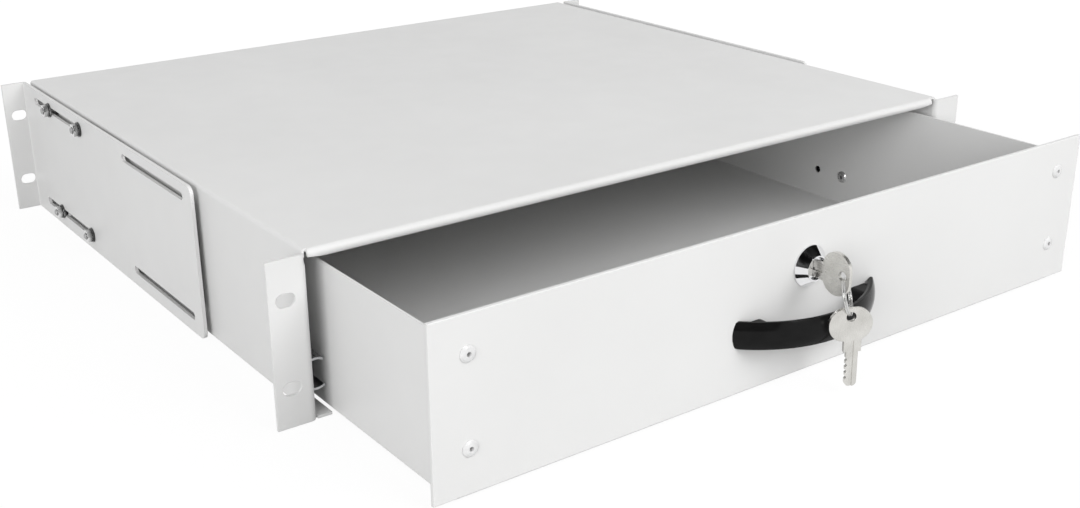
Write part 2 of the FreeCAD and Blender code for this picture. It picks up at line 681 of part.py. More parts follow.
def make_bracket_screw():
    """M4 pan-head screw, its shank pointing to -Y from the seat at the origin."""
    body = new_body("bracket_screw_pattern")
    high = "size.screw_head_high"
    wide = "size.screw_head_radius"
    profile = [
        ("-size.screw_length", "0"),
        (high, "0"),
        (high, f"{wide} - {high} / 2", f"{high} / 2", f"{wide} - {high} / 2", True),
        (f"{high} / 2", wide),
        ("0", wide),
        ("0", "size.screw_radius"),
        ("-size.screw_length + size.screw_tip_bevel", "size.screw_radius"),
        ("-size.screw_length", "size.screw_radius - size.screw_tip_bevel"),
    ]
    spin(body, "turned", "side", [profile])
    half = "size.screw_cross_wide / 2"
    across = [rectangle("-size.screw_radius", f"-{half}", "size.screw_radius", half)]
    down = [rectangle(f"-{half}", "-size.screw_radius", half, "size.screw_radius")]
    floor = f"{high} - size.screw_cross_deep"
    cut(body, "recess_across", "front", across, floor, f"{high} + {SPARE}")
    cut(body, "recess_down", "front", down, floor, f"{high} + {SPARE}")
    return body


def make_nut(label, flange):
    """M4 nut, seat at the origin and outer end to -Y; flange adds a collar."""
    body = new_body(label)
    base = "size.nut_flange_high" if flange else "0"
    top = f"({base} + size.nut_high)"
    pad(body, "hexagon", "front", [hexagon("size.nut_flats")], f"-{top}", "0")
    if flange:
        collar = [("circle", "0", "0", "size.nut_flange_radius")]
        pad(body, "collar", "front", collar, f"-{base}", "0")
    bore = [("circle", "0", "0", "size.screw_radius")]
    cut(body, "bore", "front", bore, f"-{top} - {SPARE}", f"{SPARE}")
    return body


def make_bracket_fasteners():
    """Screws through the case sides, a nut under and a nut over each bracket."""
    screws, spacers, nuts = [], [], []
    for side, rotation in SIDES:
        for y, z in bracket_screw_places():
            screws.append((f"{side} * {CASE_IN}", y, z, rotation))
            spacers.append((f"{side} * {CASE_OUT}", y, z, rotation))
            nuts.append((f"{side} * ({BRACKET_OUT} + size.slide_fit)", y, z, rotation))
    return [
        copies("bracket_screws", make_bracket_screw(), screws),
        copies("bracket_spacer_nuts", make_nut("spacer_nut_pattern", False), spacers),
        copies("bracket_flange_nuts", make_nut("flange_nut_pattern", True), nuts),
    ]


# ------------------------------------------------------ tray and panel

def panel_rivet_places():
    """The (x, z) of the four rivets that join the panel to the tray."""
    low = f"({TRAY_LOW} + size.panel_rivet_low)"
    high = f"({TRAY_TOP} - size.panel_rivet_high)"
    return [
        (f"{side} * ({TRAY_OUT} - size.panel_rivet_inset)", z)
        for side in (-1, 1) for z in (low, high)
    ]


def rail_rivet_places():
    """The (y, z) of the blind rivets that hold one drawer rail."""
    first = f"({DRAWER_RAIL_FRONT} + size.rail_rivet_first)"
    last = f"({DRAWER_RAIL_REAR} - size.rail_rivet_last)"
    middle = f"(({first} + {last}) / 2)"
    return [(first, SLIDE_Z), (middle, SLIDE_Z), (last, SLIDE_Z)]


def tray_side_holes():
    holes = [("circle", y, z, RIVET_HOLE) for y, z in rail_rivet_places()]
    holes.append(("circle", ACCESS_HOLE_Y, SLIDE_Z, "size.access_hole_radius"))
    return holes


def tray_flange_outline(side):
    """Front flange and the start of the side wall, seen from above."""
    root = f"{PANEL_BACK} + 2 * size.tray_fold"
    end = f"({TRAY_OUT} - size.tray_flange)"
    behind = f"{PANEL_BACK} + size.tray_gauge"
    return rounded([
        (f"{side} * {TRAY_OUT}", root),
        (f"{side} * {TRAY_OUT}", PANEL_BACK, "size.tray_fold"),
        (f"{side} * {end}", PANEL_BACK),
        (f"{side} * {end}", behind),
        (f"{side} * {TRAY_IN}", behind, "size.inner_fold"),
        (f"{side} * {TRAY_IN}", root),
    ])


def make_tray():
    body = new_body("tray")
    floor = f"({TRAY_LOW} + size.tray_gauge)"
    channel = rounded([
        (f"-{TRAY_OUT}", TRAY_TOP),
        (f"-{TRAY_OUT}", TRAY_LOW, "size.tray_fold"),
        (TRAY_OUT, TRAY_LOW, "size.tray_fold"),
        (TRAY_OUT, TRAY_TOP),
        (TRAY_IN, TRAY_TOP),
        (TRAY_IN, floor, "size.inner_fold"),
        (f"-{TRAY_IN}", floor, "size.inner_fold"),
        (f"-{TRAY_IN}", TRAY_TOP),
    ])
    pad(body, "channel", "front", [channel], f"{PANEL_BACK} + size.tray_fold", TRAY_REAR)
    strip_side = f"({TRAY_IN} - size.tray_fold)"
    strip = rectangle(f"-{strip_side}", TRAY_LOW, strip_side, floor)
    pad(body, "floor_front", "front", [strip],
        PANEL_BACK, f"{PANEL_BACK} + 2 * size.tray_fold")
    flanges = [tray_flange_outline("-1"), tray_flange_outline("1")]
    pad(body, "front_flanges", "top", flanges,
        f"{TRAY_LOW} + size.tray_relief", TRAY_TOP)
    rear = rectangle(f"-{TRAY_IN}", TRAY_LOW, TRAY_IN, TRAY_TOP)
    pad(body, "rear_wall", "front", [rear], f"{TRAY_REAR} - size.tray_gauge", TRAY_REAR)

    holes = [("circle", x, z, RIVET_HOLE) for x, z in panel_rivet_places()]
    cut(body, "flange_holes", "front", holes,
        f"{PANEL_BACK} - {SPARE}", f"{PANEL_BACK} + size.tray_gauge + {SPARE}")
    cut(body, "side_holes", "side", tray_side_holes(),
        f"-{TRAY_OUT} - {SPARE}", f"{TRAY_OUT} + {SPARE}")
    return body


def double_d(radius, flat):
    """A circle about the lock axis with a flat on each side."""
    rise = f"sqrt(({radius}) * ({radius}) - ({flat}) * ({flat}))"
    return [
        (f"-({flat})", f"{LOCK_Z} - {rise}", "0", LOCK_Z, True),
        (f"{flat}", f"{LOCK_Z} - {rise}"),
        (f"{flat}", f"{LOCK_Z} + {rise}", "0", LOCK_Z, True),
        (f"-({flat})", f"{LOCK_Z} + {rise}"),
    ]


def front_edges(shape, y):
    """Names of the straight edges of a shape that lie on the plane at y."""
    names = []
    for index, edge in enumerate(shape.Edges, start=1):
        box = edge.BoundBox
        flat = abs(box.YMin - y) < 1e-6 and abs(box.YMax - y) < 1e-6
        if flat and edge.Curve.TypeId == "Part::GeomLine":
            names.append("Edge%d" % index)
    return names


def make_panel():
    body = new_body("front_panel")
    half = f"({CASE_OUT} - size.panel_inset)"
    sheet_outline = rectangle(f"-{half}", f"{BASE} + size.panel_lift",
                              half, f"{CASE_TOP} - size.panel_drop")
    plate = pad(body, "plate", "front", [sheet_outline], PANEL_FACE, PANEL_BACK)
    edges = body.newObject("PartDesign::Fillet", "front_rounding")
    edges.Base = (plate, front_edges(plate.Shape, value(PANEL_FACE)))
    edges.setExpression("Radius", "size.panel_edge")
    doc.recompute()
    holes = [("circle", x, z, RIVET_HOLE) for x, z in panel_rivet_places()]
    holes += [
        ("circle", f"{side} * {HANDLE_SCREW_X}", HANDLE_Z, SHANK_HOLE)
        for side in (-1, 1)
    ]
    holes.append(double_d("size.lock_body_radius + size.lock_hole_play",
                          "size.lock_body_flat + size.lock_hole_play"))
    cut(body, "holes", "front", holes,
        f"{PANEL_FACE} - {SPARE}", f"{PANEL_BACK} + {SPARE}")
    return body


def make_blind_rivet(label, grip):
    """Blind rivet, dome head to -Y from its seat at the origin."""
    body = new_body(label)
    bulb_end = f"({grip} + size.rivet_bulb_long)"
    head = "size.rivet_head_radius"
    profile = [
        ("0", "size.rivet_radius"),
        ("0", head),
        ("-size.rivet_rim_high", head),
        ("-size.rivet_crown_high", "size.rivet_crown_radius"),
        ("-size.rivet_head_high", "size.rivet_flat_radius"),
        ("-size.rivet_head_high", "size.rivet_bore"),
        (grip, "size.rivet_bore"),
        (grip, "0"),
        (f"{bulb_end} + size.rivet_bulb_slope", "0"),
        (f"{bulb_end} + size.rivet_bulb_slope", "size.rivet_bore"),
        (bulb_end, "size.rivet_radius"),
        (f"{bulb_end} - size.rivet_bulb_slope", "size.rivet_bulb_radius"),
        (f"{grip} + size.rivet_bulb_slope", "size.rivet_bulb_radius"),
        (grip, "size.rivet_radius"),
    ]
    spin(body, "turned", "side", [profile])
    return body


def make_panel_rivets():
    pattern = make_blind_rivet("panel_rivet_pattern", "(size.panel_gauge + size.tray_gauge)")
    return copies("panel_rivets", pattern,
                  [(x, PANEL_FACE, z, AHEAD) for x, z in panel_rivet_places()])


def make_rail_rivets():
    """Rivets that hold the drawer rails, heads inside the tray."""
    pattern = make_blind_rivet("rail_rivet_pattern", "(size.tray_gauge + size.rail_gauge)")
    inward = (("-1", TO_RIGHT), ("1", TO_LEFT))
    return copies("drawer_rail_rivets", pattern, [
        (f"{side} * {TRAY_IN}", y, z, rotation)
        for side, rotation in inward for y, z in rail_rivet_places()
    ])


# --------------------------------------------------------------- slides

def case_rail_outline():
    """Section of the left case rail: a web between two arched raceways."""
    wall = f"(-{CASE_IN})"
    edge = f"({wall} + size.case_rail_deep)"
    web = f"({wall} + size.rail_gauge)"
    half = "(size.case_rail_deep / 2)"
    rise = "size.raceway_rise"
    radius = f"(({half} * {half} + {rise} * {rise}) / (2 * {rise}))"
    inner = f"({radius} - size.rail_gauge)"
    # Heights above the slide's centre line.
    centre = f"(size.slide_height / 2 - {radius})"
    outer_end = f"(size.slide_height / 2 - {rise})"
    web_step = f"({half} - size.rail_gauge)"
    web_end = f"({centre} + sqrt({inner} * {inner} - {web_step} * {web_step}))"
    lip_x = f"({BALL_X} + {half} * {inner} / {radius})"
    lip_end = f"({centre} + ({outer_end} - {centre}) * {inner} / {radius})"
    up = f"{SLIDE_Z} +"
    down = f"{SLIDE_Z} -"
    return [
        (wall, f"{down} {outer_end}", BALL_X, f"{down} {centre}", True),
        (edge, f"{down} {outer_end}"),
        (lip_x, f"{down} {lip_end}", BALL_X, f"{down} {centre}", False),
        (web, f"{down} {web_end}"),
        (web, f"{up} {web_end}", BALL_X, f"{up} {centre}", False),
        (lip_x, f"{up} {lip_end}"),
        (edge, f"{up} {outer_end}", BALL_X, f"{up} {centre}", True),
        (wall, f"{up} {outer_end}"),
    ]


def make_case_rail():
    """Left case rail, open to the tray, with a stop lug for the ball cage."""
    body = new_body("left_case_rail")
    web = f"(-{CASE_IN} + size.rail_gauge)"
    pad(body, "strip", "front", [case_rail_outline()], "size.case_rail_front", CASE_RAIL_REAR)
    lug = rectangle(web, f"{SLIDE_Z} - size.stop_wide / 2",
                    f"{web} + size.stop_high", f"{SLIDE_Z} + size.stop_wide / 2")
    pad(body, "stop_lug", "front", [lug], STOP_LUG_FRONT, STOP_LUG_REAR)
    holes = [("circle", y, z, "size.slide_rivet_radius") for y, z in slide_rivet_places()]
    cut(body, "rivet_holes", "side", holes, f"-{CASE_IN} - {SPARE}", f"{web} + {SPARE}")
    return body


def make_drawer_rail():
    """Left drawer rail: a channel on the tray, with a stop lug at its rear."""
    body = new_body("left_drawer_rail")
    back = f"-{TRAY_OUT}"
    web = f"({back} - size.rail_gauge)"
    edge = f"(-{CASE_IN} + size.drawer_rail_clear)"
    top = f"({SLIDE_Z} + size.drawer_rail_height / 2)"
    low = f"({SLIDE_Z} - size.drawer_rail_height / 2)"
    section = rounded([
        (back, low, "size.inner_fold"),
        (back, top, "size.inner_fold"),
        (edge, top),
        (edge, f"{top} - size.rail_gauge"),
        (web, f"{top} - size.rail_gauge"),
        (web, f"{low} + size.rail_gauge"),
        (edge, f"{low} + size.rail_gauge"),
        (edge, low),
    ])
    pad(body, "strip", "front", [section], DRAWER_RAIL_FRONT, DRAWER_RAIL_REAR)
    tab = rectangle(f"-{CASE_IN} + size.rail_gauge + size.cage_gap",
                    f"{SLIDE_Z} - size.stop_wide / 2",
                    web, f"{SLIDE_Z} + size.stop_wide / 2")
    pad(body, "stop_tab", "front", [tab], STOP_TAB_FRONT, DRAWER_RAIL_REAR)
    cut(body, "holes", "side", tray_side_holes(), f"{web} - {SPARE}", f"{back} + {SPARE}")
    return body


def ball_rows():
    """Where the balls of one cage sit: (y, sign of the row)."""
    count = int(value("size.ball_count"))
    first = f"({CAGE_FRONT} + size.ball_end)"
    pitch = f"(({CAGE_REAR} - size.ball_end - {first}) / {count - 1})"
    return [(f"{first} + {n} * {pitch}", row) for n in range(count) for row in (-1, 1)]


def make_cage():
    """Left ball cage: a channel strip whose edges hold the two rows of balls."""
    body = new_body("left_ball_cage")
    web = f"(-{CASE_IN} + size.rail_gauge + size.cage_gap)"
    edge = f"(-{CASE_IN} + size.cage_deep)"
    outer = f"({BALL_ROW} + size.cage_gauge / 2)"
    inner = f"({BALL_ROW} - size.cage_gauge / 2)"
    section = rounded([
        (web, f"{SLIDE_Z} - {outer}"),
        (edge, f"{SLIDE_Z} - {outer}"),
        (edge, f"{SLIDE_Z} - {inner}"),
        (f"{web} + size.cage_gauge", f"{SLIDE_Z} - {inner}"),
        (f"{web} + size.cage_gauge", f"{SLIDE_Z} + {inner}"),
        (edge, f"{SLIDE_Z} + {inner}"),
        (edge, f"{SLIDE_Z} + {outer}"),
        (web, f"{SLIDE_Z} + {outer}"),
    ])
    pad(body, "strip", "front", [section], CAGE_FRONT, CAGE_REAR)
    holes = [
        ("circle", BALL_X, y, "size.ball_radius + size.ball_play")
        for y, row in ball_rows() if row == 1
    ]
    cut(body, "ball_holes", "top", holes,
        f"{SLIDE_Z} - {outer} - {SPARE}", f"{SLIDE_Z} + {outer} + {SPARE}")
    return body


def make_balls():
    """All balls of the left slide."""
    pattern = doc.addObject("Part::Sphere", "slide_ball_pattern")
    pattern.setExpression("Radius", "size.ball_radius")
    return copies("left_slide_balls", pattern, [
        (BALL_X, y, f"{SLIDE_Z} + {row} * {BALL_ROW}", AHEAD) for y, row in ball_rows()
    ])


def make_slide_rivets():
    """Flush rivets of the case rails, flat heads outside the case."""
    pattern = new_body("slide_rivet_pattern")
    inside = "(size.case_gauge + size.rail_gauge)"
    shank = [("circle", "0", "0", "size.slide_rivet_radius")]
    head = [("circle", "0", "0", "size.slide_rivet_head")]
    pad(pattern, "head", "front", head, "-size.slide_rivet_high", "0")
    pad(pattern, "shank", "front", shank, "0", inside)
    return copies("case_rail_rivets", pattern, [
        (f"{side} * {CASE_OUT}", y, z, rotation)
        for side, rotation in SIDES for y, z in slide_rivet_places()
    ])


# --------------------------------------------------------------- handle

# The bow is part of a ring about an upright axis behind the panel.
BOW_RADIUS = ("((size.handle_span * size.handle_span / 4 "
              "+ size.handle_reach * size.handle_reach) / (2 * size.handle_reach))")


def make_handle():
    """Bow handle: a crowned, hollow-backed band on two feet."""
    body = new_body("handle")
    axis_y = f"({BOW_RADIUS} - size.handle_reach)"
    half = "(size.handle_height / 2)"
    foot = "(size.foot_height / 2)"

    # Two feet, trimmed to the inside of the band.
    feet = [
        slot(f"{side} * ({FOOT_INNER} + {FOOT_OUTER}) / 2", "0",
             "size.foot_long", "size.foot_height")
        for side in (-1, 1)
    ]
    pad(body, "feet", "front", feet, "-size.handle_reach", "0")
    mid_wall = f"({BOW_RADIUS} - size.handle_wall / 2)"
    far = f"(size.handle_reach + {SPARE})"
    wide = f"(size.handle_span / 2 + {SPARE})"
    level = f"(sqrt({mid_wall} * {mid_wall} - {wide} * {wide}) - {axis_y})"
    trim = [
        (f"-{wide}", f"-{level}", "0", axis_y, True),
        (wide, f"-{level}"),
        (wide, f"-{far}"),
        (f"-{wide}", f"-{far}"),
    ]
    cut(body, "feet_trim", "top", [trim], f"-{foot} - {SPARE}", f"{foot} + {SPARE}")

    # The band: section in the side plane, turned about the upright axis.
    face = "(-size.handle_reach)"
    back = "(-size.handle_reach + size.handle_wall)"
    crown = f"({face} + size.handle_crown)"
    rim = f"({back} + size.handle_hollow)"
    inner_half = f"({half} - size.handle_wall / 2)"
    outer_centre = crown_centre(face, crown, half)
    inner_centre = crown_centre(back, rim, inner_half)
    rim_v = f"(({half}) + ({inner_half})) / 2"
    rim_u = f"(({crown}) + ({rim})) / 2"
    section = [
        (crown, f"-{half}"),
        (rim_u, f"-{half}"),
        (rim, f"-{rim_v}"),
        (rim, f"-{inner_half}", inner_centre, "0", False),
        (rim, inner_half),
        (rim, rim_v),
        (rim_u, half),
        (crown, half, outer_centre, "0", True),
    ]
    turn = body.newObject("PartDesign::Revolution", "band")
    sketch = new_sketch(body, "band", "side", [section])
    axis = sketch.addGeometry(
        Part.LineSegment(FreeCAD.Vector(value(axis_y), -1, 0),
                         FreeCAD.Vector(value(axis_y), 1, 0)), True)
    for point, v in ((1, "-1"), (2, "1")):
        bind(sketch, "DistanceX", axis, point, axis_y)
        bind(sketch, "DistanceY", axis, point, v)
    turn.Profile = sketch
    turn.ReferenceAxis = (sketch, ["Axis0"])
    turn.Midplane = True
    turn.setExpression("Angle", f"2 * asin({wide} / {BOW_RADIUS})")
    doc.recompute()

    # Rounded ends, flat on the panel, and a bore in each foot.
    outer = "size.handle_span / 2"
    block = rectangle(f"-{BOW_RADIUS}", f"-{half} - {SPARE}",
                      BOW_RADIUS, f"{half} + {SPARE}")
    ends = rounded([
        (f"-{outer}", f"-{half}", "size.handle_corner"),
        (outer, f"-{half}", "size.handle_corner"),
        (outer, half, "size.handle_corner"),
        (f"-{outer}", half, "size.handle_corner"),
    ])
    cut(body, "round_ends", "front", [block, ends], f"-{far}", BOW_RADIUS)
    cut(body, "seat", "front", [block], "0", BOW_RADIUS)
    bores = [("circle", f"{side} * {HANDLE_SCREW_X}", "0", "size.screw_radius")
             for side in (-1, 1)]
    cut(body, "bores", "front", bores, "-size.handle_screw_deep", f"{SPARE}")
    place(body, "0", PANEL_FACE, HANDLE_Z)
    return body


def crown_centre(middle, edge, half):
    """Where the centre of an arc lies that bulges from edge out to middle."""
    rise = f"(({edge}) - ({middle}))"
    radius = f"(({half} * {half} + {rise} * {rise}) / (2 * {rise}))"
    return f"({middle} + {radius})"


def make_handle_screws():
    """M4 pan-head screws through the panel from behind."""
    body = new_body("handle_screw_pattern")
    high = "size.screw_head_high"
    wide = "size.screw_head_radius"
    length = "(size.panel_gauge + size.handle_screw_deep)"
    profile = [
        (f"-{length}", "0"),
        (high, "0"),
        (high, f"{wide} - {high} / 2", f"{high} / 2", f"{wide} - {high} / 2", True),
        (f"{high} / 2", wide),
        ("0", wide),
        ("0", "size.screw_radius"),
        (f"-{length}", "size.screw_radius"),
    ]
    spin(body, "turned", "side", [profile])
    return copies("handle_screws", body, [
        (f"{side} * {HANDLE_SCREW_X}", PANEL_BACK, HANDLE_Z, AHEAD) for side in (-1, 1)
    ])


# ----------------------------------------------------------------- lock
# The lock's pieces are drawn about an origin on the panel's front face, on
# the lock axis, with +Y into the drawer.

PLUG_FACE = "(-size.collar_reach + size.plug_recess)"
PLUG_END = "(size.lock_body_long + size.plug_tail)"
CAM_FRONT = f"({PLUG_END} + size.cam_play)"
CAM_BACK = f"({CAM_FRONT} + size.cam_gauge)"
CAM_TIP_FRONT = f"({HEM_END} + size.cam_gap + size.closed_gap + size.panel_gauge)"
CAM_REACH = f"({HEM_LOW} + size.cam_hook - {LOCK_Z})"
SHOULDER_Y = f"({PLUG_FACE} - size.key_stop_gap)"
BOW_Y = f"({SHOULDER_Y} - size.key_shoulder_end)"


def make_lock_housing():
    body = new_body("lock_housing")
    bore = "(size.plug_radius + size.plug_play)"
    head_bore = "(size.plug_head_radius + size.plug_play)"
    head_end = f"({PLUG_FACE} + size.plug_head_long + size.plug_play)"
    profile = [
        (head_end, bore),
        (head_end, head_bore),
        ("-size.collar_reach", head_bore),
        ("-size.collar_reach", "size.collar_nose - size.collar_bevel"),
        ("-size.collar_reach + size.collar_bevel", "size.collar_nose"),
        ("-size.collar_rim", "size.collar_radius"),
        ("0", "size.collar_radius"),
        ("0", "size.lock_body_radius"),
        ("size.lock_body_long", "size.lock_body_radius"),
        ("size.lock_body_long", bore),
    ]
    spin(body, "turned", "side", [profile])
    side_cuts = []
    reach = f"size.lock_body_radius + {SPARE}"
    for side in ("-1", "1"):
        near = f"{side} * size.lock_body_flat"
        away = f"{side} * ({reach})"
        side_cuts.append(rectangle(near, f"-({reach})", away, reach))
    cut(body, "flats", "front", side_cuts, "0", f"size.lock_body_long + {SPARE}")
    place(body, "0", PANEL_FACE, LOCK_Z)
    return body


def make_lock_nut():
    body = new_body("lock_nut")
    pad(body, "hexagon", "front", [hexagon("size.lock_nut_flats")],
        "size.panel_gauge", "size.panel_gauge + size.lock_nut_high")
    bore = [("circle", "0", "0", "size.lock_body_radius")]
    cut(body, "bore", "front", bore, "0", f"size.panel_gauge + size.lock_nut_high + {SPARE}")
    place(body, "0", PANEL_FACE, LOCK_Z)
    return body


def make_plug():
    body = new_body("lock_plug")
    head_end = f"({PLUG_FACE} + size.plug_head_long)"
    profile = [
        (PLUG_FACE, "0"),
        (PLUG_END, "0"),
        (PLUG_END, "size.plug_radius"),
        (head_end, "size.plug_radius"),
        (head_end, "size.plug_head_radius"),
        (f"{PLUG_FACE} + size.plug_bevel", "size.plug_head_radius"),
        (PLUG_FACE, "size.plug_head_radius - size.plug_bevel"),
    ]
    spin(body, "turned", "side", [profile])
    half = "(size.plug_square / 2)"
    square = rectangle(f"-{half}", f"-{half}", half, half)
    pad(body, "square", "front", [square], PLUG_END, CAM_BACK)
    half_gauge = "(size.key_gauge / 2 + size.keyway_play)"
    half_blade = "(size.blade_wide / 2 + size.keyway_play)"
    keyway = rectangle(f"-{half_gauge}", f"-{half_blade}", half_gauge, half_blade)
    blade_end = f"({BOW_Y} + size.blade_end + size.keyway_play)"
    cut(body, "keyway", "front", [keyway], f"{PLUG_FACE} - {SPARE}", blade_end)
    tapped = [("circle", "0", "0", "size.cam_screw_radius")]
    cut(body, "tapped_hole", "front", tapped,
        f"{CAM_BACK} - size.cam_screw_deep", f"{CAM_BACK} + {SPARE}")
    place(body, "0", PANEL_FACE, LOCK_Z)
    return body


def make_cam():
    """Cranked cam, pointing to -X; its tip is folded forward of the hub."""
    body = new_body("lock_cam")
    half = "(size.cam_width / 2)"
    fold = "(-size.cam_crank_at)"
    hub = [("circle", "0", "0", "size.cam_hub_radius")]
    pad(body, "hub", "front", hub, CAM_FRONT, CAM_BACK)
    arm = rectangle(fold, f"-{half}", "0", half)
    pad(body, "arm", "front", [arm], CAM_FRONT, CAM_BACK)
    web = rectangle(fold, f"-{half}", f"{fold} + size.cam_gauge", half)
    pad(body, "crank", "front", [web], CAM_TIP_FRONT, CAM_BACK)
    chord = f"(-sqrt({CAM_REACH} * {CAM_REACH} - {half} * {half}))"
    tip = [
        (f"{fold} + size.cam_gauge", f"-{half}"),
        (f"{fold} + size.cam_gauge", half),
        (chord, half, "0", "0", True),
        (chord, f"-{half}"),
    ]
    pad(body, "tip", "front", [tip], CAM_TIP_FRONT, f"{CAM_TIP_FRONT} + size.cam_gauge")
    side = "(size.plug_square / 2 + size.cam_square_play)"
    square = [rectangle(f"-{side}", f"-{side}", side, side)]
    cut(body, "square_hole", "front", square,
        f"{CAM_FRONT} - {SPARE}", f"{CAM_BACK} + {SPARE}")
    place(body, "0", PANEL_FACE, LOCK_Z)
    return body


def make_cam_screw():
    body = new_body("cam_screw")
    washer_back = f"({CAM_BACK} + size.cam_washer_high)"
    washer = [("circle", "0", "0", "size.cam_washer_radius")]
    pad(body, "washer_face", "front", washer, CAM_BACK, washer_back)
    pad(body, "head", "front", [hexagon("size.nut_flats")],
        washer_back, f"{washer_back} + size.nut_high")
    shank = [("circle", "0", "0", "size.cam_screw_radius")]
    pad(body, "shank", "front", shank, f"{CAM_BACK} - size.cam_screw_deep", CAM_BACK)
    place(body, "0", PANEL_FACE, LOCK_Z)
    return body


# ----------------------------------------------------------------- keys
# A key is drawn in the side plane about the middle of its bow, with its
# blade along +Y.

def blade_outline():
    """Blade with a row of cuts in its upper edge and a rounded tip."""
    half = "(size.blade_wide / 2)"
    outline = [("0", f"-{half}")]
    nose = "(size.blade_end - size.blade_nose)"
    low = f"(-{half} + size.blade_nose)"
    high = f"({half} - size.blade_nose)"
    outline.append((nose, f"-{half}", nose, low, True))
    outline.append(("size.blade_end", low))
    outline.append(("size.blade_end", high, nose, high, True))
    outline.append((nose, half))
    for index in reversed(range(int(value("size.bitting_count")))):
        middle = (f"(size.key_shoulder_end + size.bitting_first "
                  f"+ {index} * size.bitting_pitch)")
        outline.append((f"{middle} + size.bitting_wide / 2", half))
        outline.append((middle, f"{half} - size.bitting_deep"))
        outline.append((f"{middle} - size.bitting_wide / 2", half))
    outline.append(("0", half))
    return outline


def make_key(label):
    body = new_body(label)
    half = "(size.key_gauge / 2)"
    length = "(size.bow_length / 2)"
    width = "(size.bow_width / 2)"
    bow_low = f"(size.bow_rise - {width})"
    bow_high = f"(size.bow_rise + {width})"
    bow = rounded([
        (f"-{length}", bow_low, "size.bow_corner"),
        (length, bow_low, "size.bow_corner"),
        (length, bow_high, "size.bow_corner"),
        (f"-{length}", bow_high, "size.bow_corner"),
    ])
    pad(body, "bow", "side", [bow], f"-{half}", half)
    shoulder_half = "(size.key_shoulder_wide / 2)"
    shoulder = rectangle("0", f"-{shoulder_half}", "size.key_shoulder_end", shoulder_half)
    pad(body, "shoulder", "side", [shoulder], f"-{half}", half)
    pad(body, "blade", "side", [blade_outline()], f"-{half}", half)
    hole = [("circle", "-size.key_hole_step", "size.bow_rise", "size.key_hole_radius")]
    cut(body, "ring_hole", "side", hole, f"-{half} - {SPARE}", f"{half} + {SPARE}")
    groove_half = "(size.blade_groove_wide / 2)"
    groove = [rectangle("size.bow_length / 2", f"-{groove_half}",
                        f"size.blade_end + {SPARE}", groove_half)]
    cut(body, "groove", "side", groove,
        f"-{half} - {SPARE}", f"-{half} + size.blade_groove_deep")
    return body


# Middle of the hole in the inserted key, and of the hole in the spare key.
HOLE_Y = f"({PANEL_FACE} + {BOW_Y} - size.key_hole_step)"
HOLE_Z = f"({LOCK_Z} + size.bow_rise)"
SPARE_HOLE_Y = f"({HOLE_Y} - size.ring_drop * sin(size.ring_lean))"
SPARE_HOLE_Z = f"({HOLE_Z} - size.ring_drop * cos(size.ring_lean))"


def make_keys():
    inserted = make_key("lock_key")
    place(inserted, "0", f"{PANEL_FACE} + {BOW_Y}", LOCK_Z)

    # The spare key hangs from its hole, blade down.
    spare = make_key("spare_key")
    lean = value("size.spare_lean")
    hang = FreeCAD.Rotation(FreeCAD.Vector(1, 0, 0), -90 - lean)
    face = FreeCAD.Rotation(FreeCAD.Vector(0, 0, 1), value("size.spare_turn"))
    spare.Placement = FreeCAD.Placement(FreeCAD.Vector(), face * hang)
    aside = ("(size.key_hole_step * sin(size.spare_lean) "
             "+ size.bow_rise * cos(size.spare_lean))")
    drop = ("(size.key_hole_step * cos(size.spare_lean) "
            "- size.bow_rise * sin(size.spare_lean))")
    place(spare, f"{aside} * sin(size.spare_turn)",
          f"{SPARE_HOLE_Y} - {aside} * cos(size.spare_turn)", f"{SPARE_HOLE_Z} - {drop}")
    return [inserted, spare]


def make_key_ring():
    """Split ring of two turns, through the holes of both keys."""
    turns = []
    for index, side in enumerate((-1, 1), start=1):
        turn = doc.addObject("Part::Torus", "ring_turn_%d" % index)
        turn.setExpression("Radius1", "size.ring_drop / 2 - size.ring_sag")
        turn.setExpression("Radius2", "size.ring_wire")
        turn.setExpression("Placement.Base.z", f"{side} * size.ring_coil_step / 2")
        turns.append(turn)
    ring = doc.addObject("Part::Fuse", "key_ring")
    ring.Label = "key_ring"
    ring.Base = turns[0]
    ring.Tool = turns[1]
    upright = FreeCAD.Rotation(FreeCAD.Vector(0, 1, 0), 90)
    across = FreeCAD.Rotation(FreeCAD.Vector(0, 0, 1), value("size.ring_turn - 90"))
    lean = FreeCAD.Rotation(FreeCAD.Vector(1, 0, 0), -value("size.ring_lean"))
    ring.Placement = FreeCAD.Placement(FreeCAD.Vector(), lean * across * upright)
    place(ring, "0", f"({HOLE_Y} + {SPARE_HOLE_Y}) / 2", f"({HOLE_Z} + {SPARE_HOLE_Z}) / 2")
    return ring


# ------------------------------------------------------------- assembly

def make_all():
    bracket = make_bracket()
    case_rail = make_case_rail()
    drawer_rail = make_drawer_rail()
    cage = make_cage()
    balls = make_balls()
    pieces = [
        make_case(),
        bracket,
        mirrored("right_rear_bracket", bracket),
        case_rail,
        mirrored("right_case_rail", case_rail),
        make_slide_rivets(),
        make_tray(),
        make_panel(),
        make_panel_rivets(),
        drawer_rail,
        mirrored("right_drawer_rail", drawer_rail),
        make_rail_rivets(),
        cage,
        mirrored("right_ball_cage", cage),
        balls,
        mirrored("right_slide_balls", balls),
        make_handle(),
        make_handle_screws(),
        make_lock_housing(),
        make_lock_nut(),
        make_plug(),
        make_cam(),
        make_cam_screw(),
        make_key_ring(),
    ]
    return pieces + make_bracket_fasteners() + make_keys()


def check_document():
    for item in doc.Objects:
        if "Invalid" in item.State or "Error" in item.State:
            raise ValueError("%s did not compute" % item.Label)


